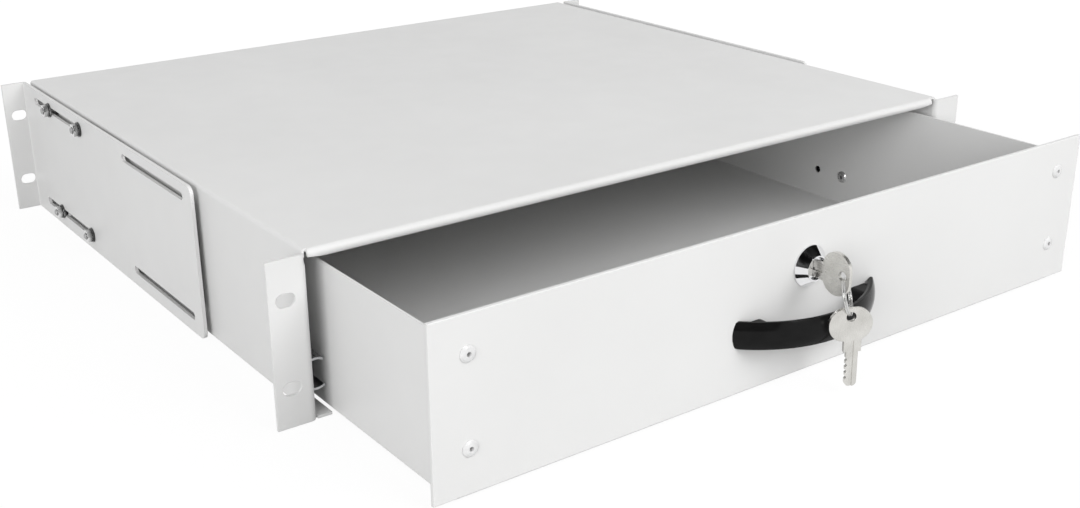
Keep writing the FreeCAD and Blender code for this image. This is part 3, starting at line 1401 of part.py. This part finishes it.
def write(pieces):
    os.makedirs("parts", exist_ok=True)
    for piece in pieces:
        shape = piece.Shape
        if shape.isNull() or not shape.isValid() or not shape.Solids:
            raise ValueError("%s has no valid solid" % piece.Label)
    for piece in pieces:
        piece.Shape.exportStep("parts/%s.step" % piece.Label)
        print("%-22s %2d solids %12.1f mm3" % (
            piece.Label, len(piece.Shape.Solids), piece.Shape.Volume))


sub_parts = make_all()
doc.recompute()
check_document()
write(sub_parts)
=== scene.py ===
import math

import bpy
from mathutils import Matrix, Vector


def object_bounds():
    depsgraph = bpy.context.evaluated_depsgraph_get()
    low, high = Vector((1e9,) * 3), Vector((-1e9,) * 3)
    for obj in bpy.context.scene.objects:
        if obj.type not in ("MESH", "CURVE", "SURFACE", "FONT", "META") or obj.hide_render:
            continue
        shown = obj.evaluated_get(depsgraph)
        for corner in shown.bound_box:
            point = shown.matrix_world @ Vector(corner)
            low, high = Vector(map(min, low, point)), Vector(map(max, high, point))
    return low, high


MM = 0.001
THREAD_PITCH = 0.7 * MM

# Floor, in metres: its half width, and where its glow takes over from the lit surface.
FLOOR_HALF = 12.0
GLOW_STRENGTH = 1.10
GLOW_NEAR, GLOW_FAR = 0.4, 1.6
GLOW_SHARE_NEAR = 0.84

WORLD_STRENGTH = 0.5
OBJECT_MIDDLE = Vector((0, -0.05, 0))
LOCK = Vector((0, -0.105, 0.016))

# Name, place, target, width, height and power in watts.
LAMPS = [
    ("key_box", (0.75, -1.8, 1.4), OBJECT_MIDDLE, 1.8, 1.2, 37),
    ("top_box", (0.0, -0.35, 2.3), OBJECT_MIDDLE, 2.0, 2.0, 1.5),
    ("left_box", (-2.25, -1.2, 0.8), (0, 0, 0), 1.6, 1.2, 38),
]
# Name, place from the lock, width and height.
FLAGS = [
    ("upper_flag", (0.54, -0.40, 0.75), 1.35, 1.0),
    ("left_flag", (-0.60, -0.66, 0.47), 1.1, 1.2),
]

CAMERA_YAW, CAMERA_PITCH, CAMERA_ROLL = 36.051, 21.261, -0.415
CAMERA_PLACE = Vector((-477.32, -532.88, 267.83)) * MM
CAMERA_LENS = 45.864
CAMERA_SENSOR = 36.0

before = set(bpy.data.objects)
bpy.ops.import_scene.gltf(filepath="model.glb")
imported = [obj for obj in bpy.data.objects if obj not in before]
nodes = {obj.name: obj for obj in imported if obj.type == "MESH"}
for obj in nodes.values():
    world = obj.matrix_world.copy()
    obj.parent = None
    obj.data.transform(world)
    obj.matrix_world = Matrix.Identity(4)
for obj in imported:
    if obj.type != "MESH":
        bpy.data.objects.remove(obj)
cad_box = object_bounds()


# ------------------------------------------------------------- materials

def new_material(name, colour, metallic, roughness, specular=0.5):
    """A Principled material; returns it with its nodes, links and shader."""
    material = bpy.data.materials.new(name)
    material.use_nodes = True
    tree = material.node_tree
    shader = tree.nodes["Principled BSDF"]
    shader.inputs["Base Color"].default_value = (*colour, 1)
    shader.inputs["Metallic"].default_value = metallic
    shader.inputs["Roughness"].default_value = roughness
    shader.inputs["Specular IOR Level"].default_value = specular
    return material, tree, shader


def noise(tree, scale, detail=3.0, roughness=0.5, stretch=(1, 1, 1)):
    """Noise on object coordinates, stretched per axis; returns its value."""
    coords = tree.nodes.new("ShaderNodeTexCoord")
    mapping = tree.nodes.new("ShaderNodeMapping")
    mapping.inputs["Scale"].default_value = stretch
    texture = tree.nodes.new("ShaderNodeTexNoise")
    texture.inputs["Scale"].default_value = scale
    texture.inputs["Detail"].default_value = detail
    texture.inputs["Roughness"].default_value = roughness
    tree.links.new(coords.outputs["Object"], mapping.inputs["Vector"])
    tree.links.new(mapping.outputs["Vector"], texture.inputs["Vector"])
    return texture.outputs["Fac"]


def ramp(tree, source, stops):
    """A colour ramp over a value; stops are (place, grey or colour)."""
    node = tree.nodes.new("ShaderNodeValToRGB")
    elements = node.color_ramp.elements
    while len(elements) < len(stops):
        elements.new(0.5)
    for element, (place, shade) in zip(elements, stops):
        element.position = place
        rgb = shade if isinstance(shade, tuple) else (shade, shade, shade)
        element.color = (*rgb, 1)
    tree.links.new(source, node.inputs["Fac"])
    return node.outputs["Color"]


def drive(tree, shader, socket, source, stops):
    """One input of a shader follows a ramp over a value."""
    tree.links.new(ramp(tree, source, stops), shader.inputs[socket])


def bump(tree, shader, height, distance, strength=1.0, edge=0.0):
    """Relief in metres on a shader, over edges softened by a bevel radius."""
    node = tree.nodes.new("ShaderNodeBump")
    node.inputs["Strength"].default_value = strength
    node.inputs["Distance"].default_value = distance
    tree.links.new(height, node.inputs["Height"])
    if edge:
        bevel = tree.nodes.new("ShaderNodeBevel")
        bevel.samples = 4
        bevel.inputs["Radius"].default_value = edge
        tree.links.new(bevel.outputs["Normal"], node.inputs["Normal"])
    tree.links.new(node.outputs["Normal"], shader.inputs["Normal"])


def powder_coat():
    """Light grey polyester powder: fine grain, soft gloss, softened edges."""
    material, tree, shader = new_material(
        "powder_coat", (0.70, 0.70, 0.697), 0.0, 0.42, specular=0.42)
    drive(tree, shader, "Base Color", noise(tree, 9.0, 4.0, 0.55),
          [(0.3, (0.686, 0.686, 0.682)), (0.7, (0.712, 0.712, 0.708))])
    drive(tree, shader, "Roughness", noise(tree, 60.0, 3.0), [(0.3, 0.38), (0.7, 0.47)])
    grain = noise(tree, 1500.0, 3.0, 0.6)
    bump(tree, shader, grain, 0.00006, 0.6, edge=0.0004)
    return material


def zinc(name, colour, stretch, scale=70.0):
    """Bright zinc plate with faint streaks along the strip."""
    material, tree, shader = new_material(name, colour, 1.0, 0.3)
    streaks = noise(tree, scale, 5.0, 0.6, stretch)
    dark = tuple(0.82 * c for c in colour)
    drive(tree, shader, "Base Color", streaks, [(0.3, dark), (0.7, colour)])
    drive(tree, shader, "Roughness", streaks, [(0.25, 0.2), (0.75, 0.4)])
    bump(tree, shader, streaks, 0.00003, 0.5, edge=0.0002)
    return material


def painted_shade_nut_zinc():
    """Zinc plate on small nuts, with painted shade: colour darkened by ambient occlusion
    towards the plate and in recesses.
    """
    material, tree, shader = new_material("zinc_nut_painted_shade", (0.6, 0.6, 0.6), 1.0, 0.2)
    shade = tree.nodes.new("ShaderNodeAmbientOcclusion")
    shade.samples = 8
    shade.inputs["Distance"].default_value = 0.005
    # Painted shade: the base colour goes dark where ambient occlusion finds the plate and
    # the nut's recesses close by.
    drive(tree, shader, "Base Color", shade.outputs["AO"],
          [(0.35, 0.015), (0.7, 0.10), (0.95, 0.75)])
    spots = noise(tree, 260.0, 4.0, 0.6)
    drive(tree, shader, "Roughness", spots, [(0.3, 0.12), (0.7, 0.3)])
    bump(tree, shader, spots, 0.00003, 0.5, edge=0.0002)
    return material


def painted_rivet():
    """Blind rivet coated with the panel: smoother than the sheet around it."""
    material, tree, shader = new_material("painted_rivet", (0.68, 0.68, 0.68), 0.0, 0.25)
    spots = noise(tree, 420.0, 4.0, 0.6)
    drive(tree, shader, "Base Color", spots, [(0.3, 0.62), (0.6, 0.70)])
    drive(tree, shader, "Roughness", spots, [(0.3, 0.18), (0.7, 0.32)])
    bump(tree, shader, spots, 0.00003, 0.5, edge=0.0002)
    return material


def threaded(name, axis):
    """Zinc plate with a thread running along one axis, its grooves darkened with painted
    shade.
    """
    material, tree, shader = new_material(name, (0.6, 0.6, 0.6), 1.0, 0.28)
    coords = tree.nodes.new("ShaderNodeTexCoord")
    wave = tree.nodes.new("ShaderNodeTexWave")
    wave.bands_direction = axis
    # The wave texture runs through 20 radians per unit at a scale of 1.
    wave.inputs["Scale"].default_value = 2 * math.pi / (20 * THREAD_PITCH)
    tree.links.new(coords.outputs["Object"], wave.inputs["Vector"])
    # Painted shade: the thread's grooves are coloured darker than its crests.
    drive(tree, shader, "Base Color", wave.outputs["Fac"], [(0.1, 0.3), (0.6, 0.62)])
    bump(tree, shader, wave.outputs["Fac"], 0.0003, 0.8)
    return material


def polished(name, colour, roughness, smear):
    """Chrome or hard steel: mirror-like, with a little handling haze."""
    material, tree, shader = new_material(name, colour, 1.0, roughness)
    haze = noise(tree, 240.0, 4.0, 0.6)
    drive(tree, shader, "Roughness", haze,
          [(0.35, roughness), (0.75, roughness + smear)])
    drive(tree, shader, "Base Color", haze,
          [(0.3, tuple(0.94 * c for c in colour)), (0.7, colour)])
    bump(tree, shader, haze, 0.00001, 0.3, edge=0.00015)
    return material


def black_gloss():
    """Deep black moulding with a clear gloss and faint flow marks."""
    material, tree, shader = new_material(
        "black_gloss", (0.006, 0.006, 0.007), 0.0, 0.12, specular=0.1)
    flow = noise(tree, 40.0, 3.0, 0.5, (1, 3, 3))
    drive(tree, shader, "Roughness", flow, [(0.3, 0.08), (0.7, 0.14)])
    drive(tree, shader, "Base Color", flow, [(0.3, 0.005), (0.7, 0.009)])
    bump(tree, shader, noise(tree, 160.0, 2.0), 0.00004, 0.3)
    return material


def key_metal(name, stretch):
    """Nickel-plated brass: satin, with fine grinding lines along the blade."""
    material, tree, shader = new_material(name, (0.66, 0.65, 0.62), 1.0, 0.3)
    lines = noise(tree, 500.0, 4.0, 0.65, stretch)
    drive(tree, shader, "Roughness", lines, [(0.3, 0.22), (0.7, 0.38)])
    drive(tree, shader, "Base Color", noise(tree, 120.0, 4.0),
          [(0.3, (0.60, 0.59, 0.56)), (0.7, (0.72, 0.71, 0.68))])
    bump(tree, shader, lines, 0.00003, 0.5, edge=0.00025)
    return material


def dress():
    """Every carried-over CAD node gets its material."""
    coat = powder_coat()
    along = zinc("zinc_strip", (0.60, 0.61, 0.62), (8, 0.4, 8))
    cast = zinc("zinc_small", (0.58, 0.58, 0.58), (1, 1, 1), 260.0)
    rivet = zinc("rivet_aluminium", (0.80, 0.80, 0.80), (1, 1, 1), 300.0)
    chrome = polished("chrome_plate", (0.80, 0.80, 0.81), 0.05, 0.06)
    ball = polished("ball_steel", (0.62, 0.62, 0.63), 0.08, 0.05)
    looks = {
        coat: ["case", "left_rear_bracket", "right_rear_bracket", "tray", "front_panel"],
        along: ["left_case_rail", "right_case_rail", "left_drawer_rail",
                "right_drawer_rail", "left_ball_cage", "right_ball_cage"],
        cast: ["bracket_spacer_nuts", "lock_nut", "lock_cam", "cam_screw",
               "handle_screws", "case_rail_rivets"],
        painted_shade_nut_zinc(): ["bracket_flange_nuts"],
        rivet: ["drawer_rail_rivets"],
        painted_rivet(): ["panel_rivets"],
        threaded("screw_thread", "X"): ["bracket_screws"],
        chrome: ["lock_housing", "lock_plug"],
        ball: ["left_slide_balls", "right_slide_balls"],
        black_gloss(): ["handle"],
        key_metal("key_blade_along_y", (6, 0.5, 6)): ["lock_key"],
        key_metal("key_blade_along_z", (6, 6, 0.5)): ["spare_key"],
        polished("ring_wire", (0.62, 0.62, 0.61), 0.16, 0.08): ["key_ring"],
    }
    dressed = set()
    for material, names in looks.items():
        for name in names:
            nodes[name].data.materials.clear()
            nodes[name].data.materials.append(material)
            dressed.add(name)
    left = set(nodes) - dressed
    if left:
        raise ValueError(f"no material for {sorted(left)}")


# ------------------------------------------------------ floor and lights

def seen_white(tree):
    """1 where a ray comes from the camera, a mirror or a clear surface."""
    path = tree.nodes.new("ShaderNodeLightPath")
    total = path.outputs["Is Camera Ray"]
    for other in ("Is Glossy Ray", "Is Transmission Ray"):
        add = tree.nodes.new("ShaderNodeMath")
        add.operation = "MAXIMUM"
        tree.links.new(total, add.inputs[0])
        tree.links.new(path.outputs[other], add.inputs[1])
        total = add.outputs["Value"]
    return total


def make_floor():
    """Pale plain floor at the object's lowest point; it keeps the shadow."""
    level = cad_box[0].z
    corners = [(-FLOOR_HALF, -FLOOR_HALF, level), (FLOOR_HALF, -FLOOR_HALF, level),
               (FLOOR_HALF, FLOOR_HALF, level), (-FLOOR_HALF, FLOOR_HALF, level)]
    mesh = bpy.data.meshes.new("floor")
    mesh.from_pydata(corners, [], [(0, 1, 2, 3)])
    floor = bpy.data.objects.new("floor", mesh)
    bpy.context.scene.collection.objects.link(floor)
    material, tree, shader = new_material("floor_white", (0.5, 0.5, 0.5), 0.0, 0.8, 0.1)
    drive(tree, shader, "Base Color", noise(tree, 400.0), [(0.3, 0.49), (0.7, 0.51)])
    glow = tree.nodes.new("ShaderNodeEmission")
    glow.inputs["Color"].default_value = (1, 1, 1, 1)
    glow.inputs["Strength"].default_value = GLOW_STRENGTH

    # The glow takes over from the lit surface away from the object.
    coords = tree.nodes.new("ShaderNodeTexCoord")
    away = tree.nodes.new("ShaderNodeVectorMath")
    away.operation = "LENGTH"
    tree.links.new(coords.outputs["Object"], away.inputs[0])
    spread = tree.nodes.new("ShaderNodeMapRange")
    spread.inputs["From Min"].default_value = GLOW_NEAR
    spread.inputs["From Max"].default_value = GLOW_FAR
    spread.inputs["To Min"].default_value = GLOW_SHARE_NEAR
    spread.inputs["To Max"].default_value = 1.0
    tree.links.new(away.outputs["Value"], spread.inputs["Value"])
    share = tree.nodes.new("ShaderNodeMath")
    share.operation = "MULTIPLY"
    tree.links.new(spread.outputs["Result"], share.inputs[1])
    tree.links.new(seen_white(tree), share.inputs[0])
    mix = tree.nodes.new("ShaderNodeMixShader")
    tree.links.new(share.outputs["Value"], mix.inputs["Fac"])
    tree.links.new(shader.outputs["BSDF"], mix.inputs[1])
    tree.links.new(glow.outputs["Emission"], mix.inputs[2])
    tree.links.new(mix.outputs["Shader"], tree.nodes["Material Output"].inputs["Surface"])
    mesh.materials.append(material)


def make_world():
    """Even soft light, white to the camera and in reflections."""
    world = bpy.data.worlds.new("studio")
    bpy.context.scene.world = world
    world.use_nodes = True
    tree = world.node_tree
    back = tree.nodes["Background"]
    back.inputs["Color"].default_value = (1, 1, 1, 1)
    level = tree.nodes.new("ShaderNodeMapRange")
    level.inputs["To Min"].default_value = WORLD_STRENGTH
    level.inputs["To Max"].default_value = 1.0
    tree.links.new(seen_white(tree), level.inputs["Value"])
    tree.links.new(level.outputs["Result"], back.inputs["Strength"])


def facing(place, target):
    """The turn that points an object's -Z from its place to a target."""
    aim = Vector(target) - Vector(place)
    return aim.to_track_quat("-Z", "Y").to_euler()


def make_lamp(name, place, target, width, height, power):
    """A soft box."""
    data = bpy.data.lights.new(name, "AREA")
    data.shape = "RECTANGLE"
    data.size = width
    data.size_y = height
    data.energy = power
    lamp = bpy.data.objects.new(name, data)
    lamp.location = place
    lamp.rotation_euler = facing(place, target)
    bpy.context.scene.collection.objects.link(lamp)


def make_flag(name, place, target, width, height):
    """A dark card that shows only in reflections."""
    mesh = bpy.data.meshes.new(name)
    x, y = width / 2, height / 2
    mesh.from_pydata([(-x, -y, 0), (x, -y, 0), (x, y, 0), (-x, y, 0)], [], [(0, 1, 2, 3)])
    flag = bpy.data.objects.new(name, mesh)
    flag.location = place
    flag.rotation_euler = facing(place, target)
    flag.visible_camera = False
    flag.visible_diffuse = False
    flag.visible_shadow = False
    flag.visible_transmission = False
    material, tree, shader = new_material(name, (0.008, 0.008, 0.008), 0.0, 0.9, 0.0)
    drive(tree, shader, "Base Color", noise(tree, 90.0), [(0.3, 0.007), (0.7, 0.009)])
    mesh.materials.append(material)
    bpy.context.scene.collection.objects.link(flag)


def make_lights():
    """The world, the soft boxes and the dark cards around the lock."""
    make_world()
    for lamp in LAMPS:
        make_lamp(*lamp)
    for name, offset, width, height in FLAGS:
        make_flag(name, LOCK + Vector(offset), LOCK, width, height)


def make_camera():
    """The photograph's viewpoint: yaw, pitch and roll from looking along +Y."""
    yaw, pitch, roll = (math.radians(angle)
                        for angle in (CAMERA_YAW, CAMERA_PITCH, CAMERA_ROLL))
    ahead = Vector((math.sin(yaw) * math.cos(pitch),
                    math.cos(yaw) * math.cos(pitch),
                    -math.sin(pitch)))
    right = Vector((math.cos(yaw), -math.sin(yaw), 0))
    up = right.cross(ahead)
    side = right * math.cos(roll) + up * math.sin(roll)
    top = up * math.cos(roll) - right * math.sin(roll)
    data = bpy.data.cameras.new("camera")
    data.sensor_width = CAMERA_SENSOR
    data.lens = CAMERA_LENS
    data.clip_start = 0.01
    camera = bpy.data.objects.new("camera", data)
    place = Matrix((side, top, -ahead)).transposed().to_4x4()
    place.translation = CAMERA_PLACE
    camera.matrix_world = place
    bpy.context.scene.collection.objects.link(camera)
    bpy.context.scene.camera = camera


dress()
make_floor()
make_lights()
make_camera()
bpy.context.scene.view_settings.view_transform = "Standard"
